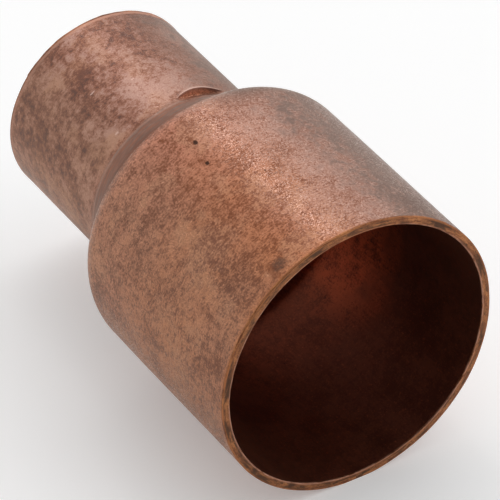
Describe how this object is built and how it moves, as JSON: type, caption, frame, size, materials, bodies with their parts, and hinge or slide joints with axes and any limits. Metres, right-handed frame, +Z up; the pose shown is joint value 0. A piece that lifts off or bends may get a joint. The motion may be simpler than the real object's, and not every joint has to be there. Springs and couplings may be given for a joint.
{
  "type": "concentric reducer",
  "caption": "Copper solder-joint reducing coupling: a large cup, a rounded shoulder and a small cup on one axis, with punched tube stops.",
  "frame": {"origin": "on the common axis of both cups, at half the overall length", "axes": "+X along the axis towards the large mouth, +Z up as the fitting lies on its large cup, +Y across"},
  "size_m": [0.0686, 0.0438, 0.0438],
  "materials": {
    "copper": "drawn copper, satin, tarnished brown and pink in soft blotches, brighter at the cut ends"
  },
  "bodies": {
    "root": {"reducer_body": "copper"}
  },
  "joints": []
}
